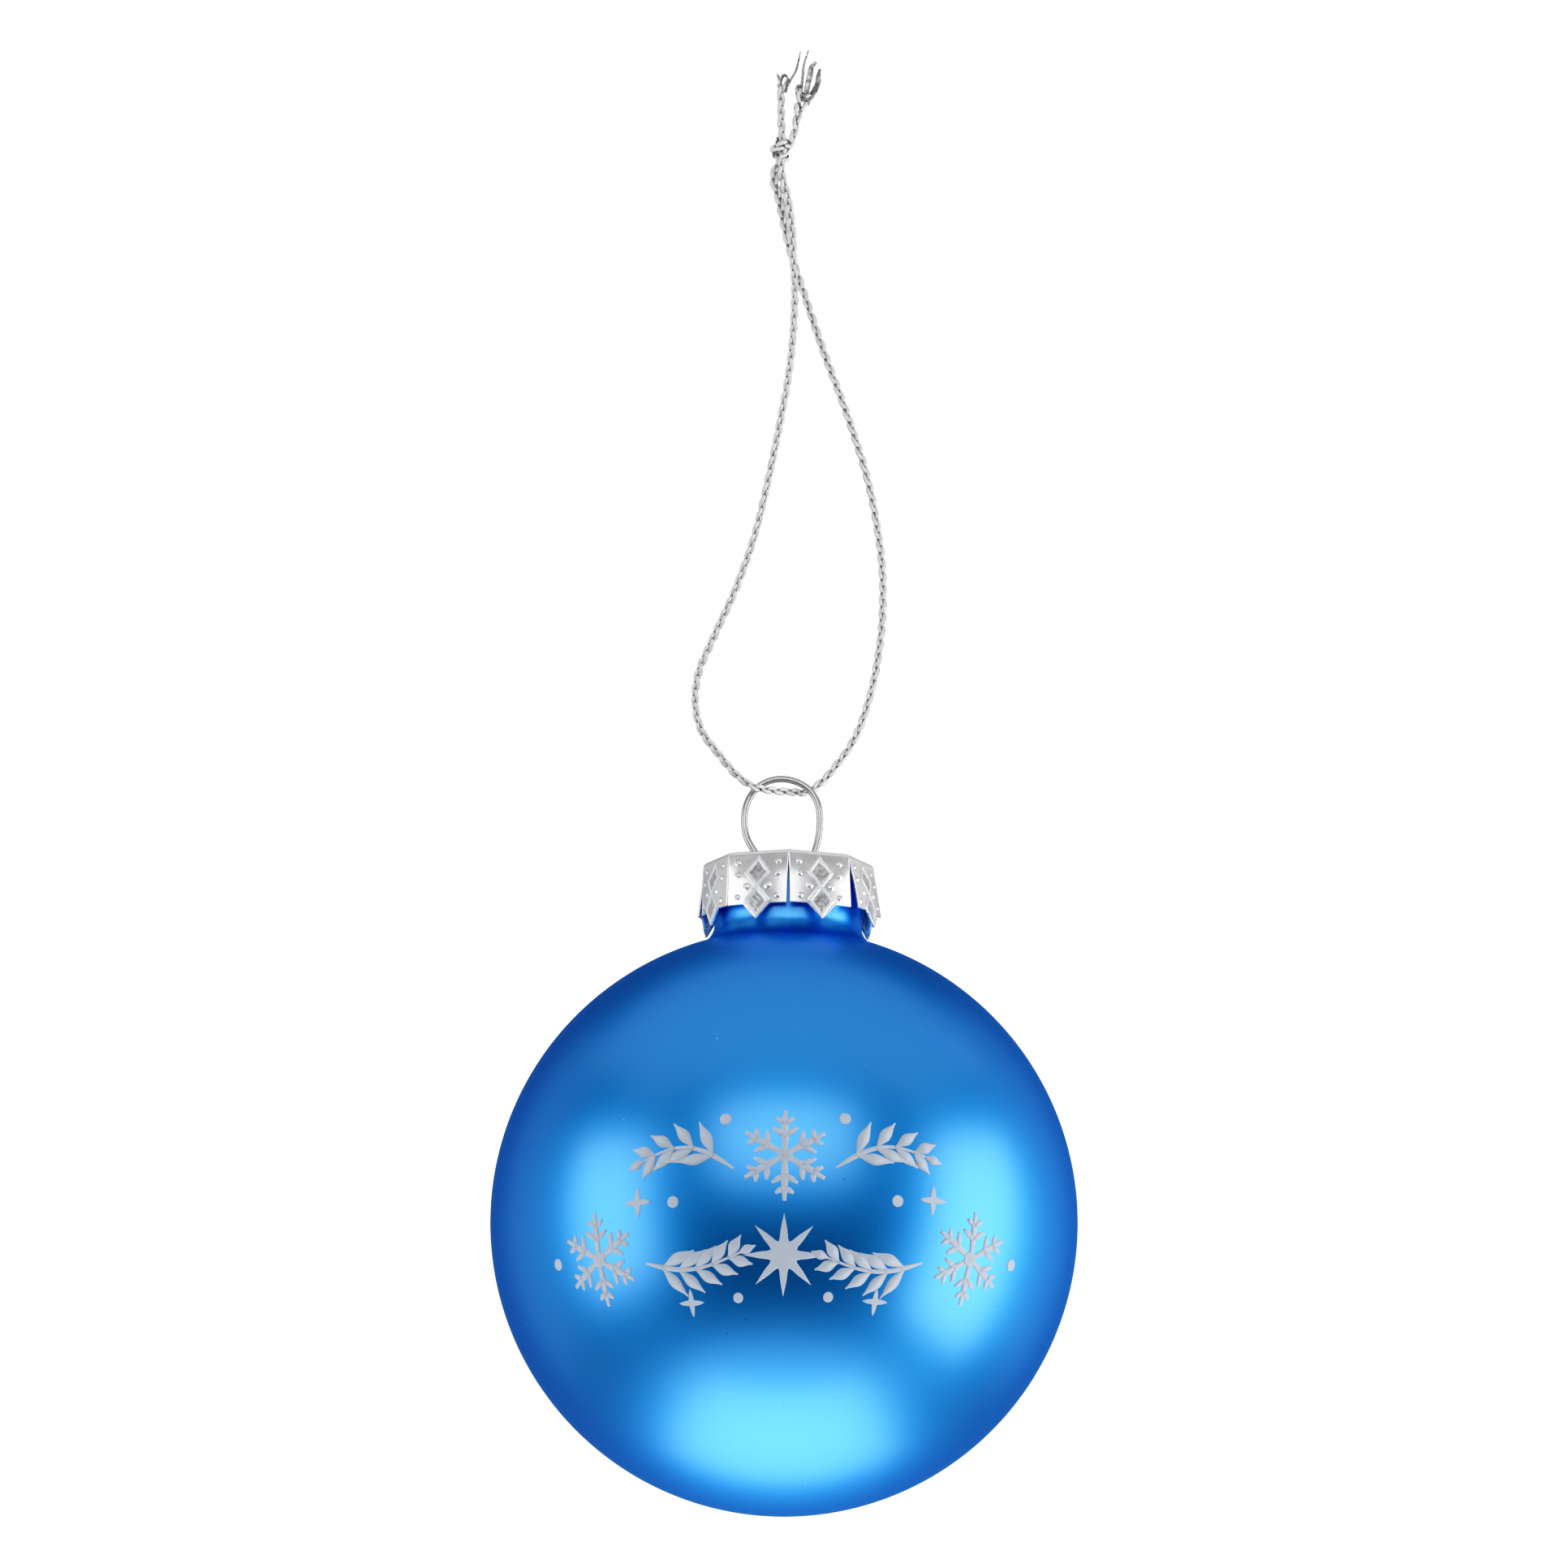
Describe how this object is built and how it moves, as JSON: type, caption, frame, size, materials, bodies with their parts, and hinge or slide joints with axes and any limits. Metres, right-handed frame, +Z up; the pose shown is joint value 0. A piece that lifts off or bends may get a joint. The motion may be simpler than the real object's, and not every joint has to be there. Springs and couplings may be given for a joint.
{
  "type": "glass ball ornament",
  "caption": "Round glass ball ornament with a stamped petal cap, a sprung wire ring and a knotted loop of metallic cord to hang it by.",
  "frame": {"origin": "where the loop of cord is hung, at the crotch where its two strands part below the knot, on the vertical line through the ball's centre", "axes": "+Z up along the ball's neck, +X to the viewer's right in the plane of the wire ring, +Y away from the viewer"},
  "size_m": [0.06, 0.06, 0.1515],
  "materials": {
    "lacquered_glass": "satin blue lacquer over silvered glass, opaque",
    "cap_sheet": "bright stamped thin sheet",
    "hanger_wire": "bright plated spring wire",
    "metallic_cord": "braided silver metallic thread"
  },
  "bodies": {
    "cord": {"cord_loop": "metallic_cord", "cord_knot": "metallic_cord", "cord_tail_left": "metallic_cord", "cord_tail_right": "metallic_cord"},
    "hanger": {"wire_hanger": "hanger_wire"},
    "cap": {"cap": "cap_sheet"},
    "ball": {"glass_ball": "lacquered_glass"}
  },
  "joints": [
    {"name": "hanger_swing", "type": "hinge", "parent": "cord", "child": "hanger", "pos_m": [0, 0, -0.0532], "axis": [0.866, 0.5, 0], "range_deg": [-75, 75]},
    {"name": "cap_lift", "type": "slide", "parent": "hanger", "child": "cap", "axis": [0, 0, 1], "range_m": [0, 0.0012]},
    {"name": "ball_pull_off", "type": "slide", "parent": "cap", "child": "ball", "axis": [0, 0, -1], "range_m": [0, 0.022]}
  ]
}
